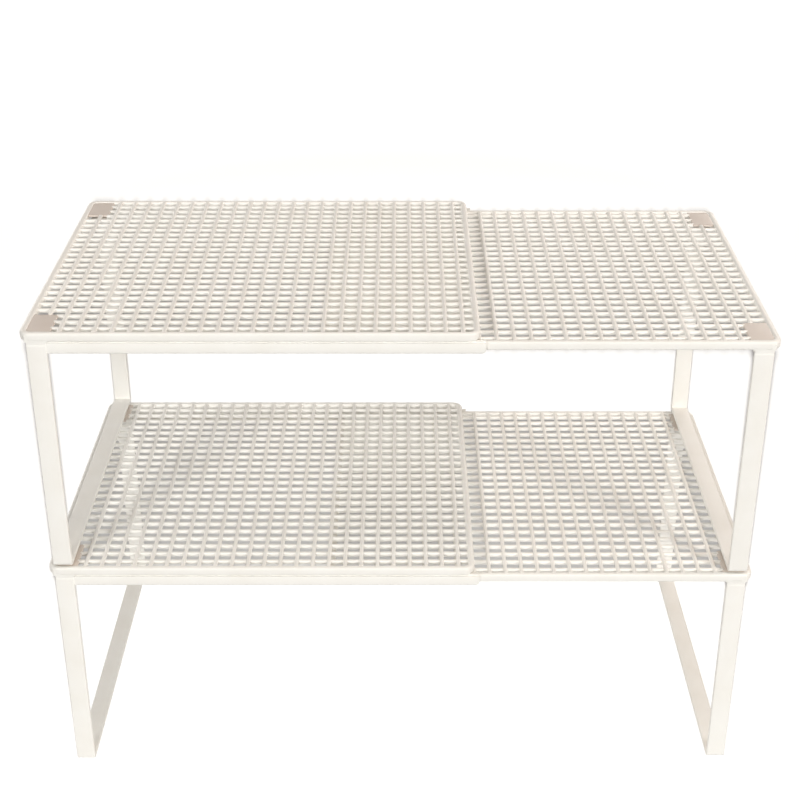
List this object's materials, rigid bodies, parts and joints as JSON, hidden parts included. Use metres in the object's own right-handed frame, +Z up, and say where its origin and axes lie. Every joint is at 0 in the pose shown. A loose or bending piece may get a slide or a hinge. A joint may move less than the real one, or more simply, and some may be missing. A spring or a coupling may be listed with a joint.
{
  "type": "expandable two-tier mesh shelf",
  "caption": "Stacked pair of expandable wire-mesh shelf racks: each inner deck slides under its outer deck on rails, on U-shaped flat-bar leg frames.",
  "frame": {"origin": "on the floor, midway between the two ends and between front and rear, at the pictured extension", "axes": "+X along the slide from the outer decks to the inner decks, +Y to the rear, +Z up"},
  "size_m": [0.5, 0.257, 0.357],
  "materials": {
    "powder_coat": "warm white powder coat, satin",
    "screw_zinc": "zinc plated",
    "pad_rubber": "matte soft pad"
  },
  "bodies": {
    "lower_outer": {"lower_outer_rim": "powder_coat", "lower_outer_cross_wires": "powder_coat", "lower_outer_long_wires": "powder_coat", "lower_outer_leg_frame": "powder_coat", "lower_outer_front_corner_plate": "powder_coat", "lower_outer_front_screw": "screw_zinc", "lower_outer_front_pad": "pad_rubber", "lower_outer_front_rail": "powder_coat", "lower_outer_rear_corner_plate": "powder_coat", "lower_outer_rear_screw": "screw_zinc", "lower_outer_rear_pad": "pad_rubber", "lower_outer_rear_rail": "powder_coat"},
    "lower_inner": {"lower_inner_rim": "powder_coat", "lower_inner_cross_wires": "powder_coat", "lower_inner_long_wires": "powder_coat", "lower_inner_leg_frame": "powder_coat", "lower_inner_front_corner_plate": "powder_coat", "lower_inner_front_screw": "screw_zinc", "lower_inner_front_pad": "pad_rubber", "lower_inner_rear_corner_plate": "powder_coat", "lower_inner_rear_screw": "screw_zinc", "lower_inner_rear_pad": "pad_rubber"},
    "upper_outer": {"upper_outer_rim": "powder_coat", "upper_outer_cross_wires": "powder_coat", "upper_outer_long_wires": "powder_coat", "upper_outer_leg_frame": "powder_coat", "upper_outer_front_corner_plate": "powder_coat", "upper_outer_front_screw": "screw_zinc", "upper_outer_front_pad": "pad_rubber", "upper_outer_front_rail": "powder_coat", "upper_outer_rear_corner_plate": "powder_coat", "upper_outer_rear_screw": "screw_zinc", "upper_outer_rear_pad": "pad_rubber", "upper_outer_rear_rail": "powder_coat"},
    "upper_inner": {"upper_inner_rim": "powder_coat", "upper_inner_cross_wires": "powder_coat", "upper_inner_long_wires": "powder_coat", "upper_inner_leg_frame": "powder_coat", "upper_inner_front_corner_plate": "powder_coat", "upper_inner_front_screw": "screw_zinc", "upper_inner_front_pad": "pad_rubber", "upper_inner_rear_corner_plate": "powder_coat", "upper_inner_rear_screw": "screw_zinc", "upper_inner_rear_pad": "pad_rubber"}
  },
  "joints": [
    {"name": "lower_slide", "type": "slide", "parent": "lower_outer", "child": "lower_inner", "axis": [1, 0, 0], "range_m": [-0.175, 0.06]},
    {"name": "upper_lift", "type": "slide", "parent": "lower_outer", "child": "upper_outer", "axis": [0, 0, 1], "range_m": [0, 0.06]},
    {"name": "upper_slide", "type": "slide", "parent": "upper_outer", "child": "upper_inner", "axis": [1, 0, 0], "range_m": [-0.175, 0.06]}
  ],
  "couplings": [
    {"joint": "upper_slide", "follows": "lower_slide", "ratio": 1}
  ]
}
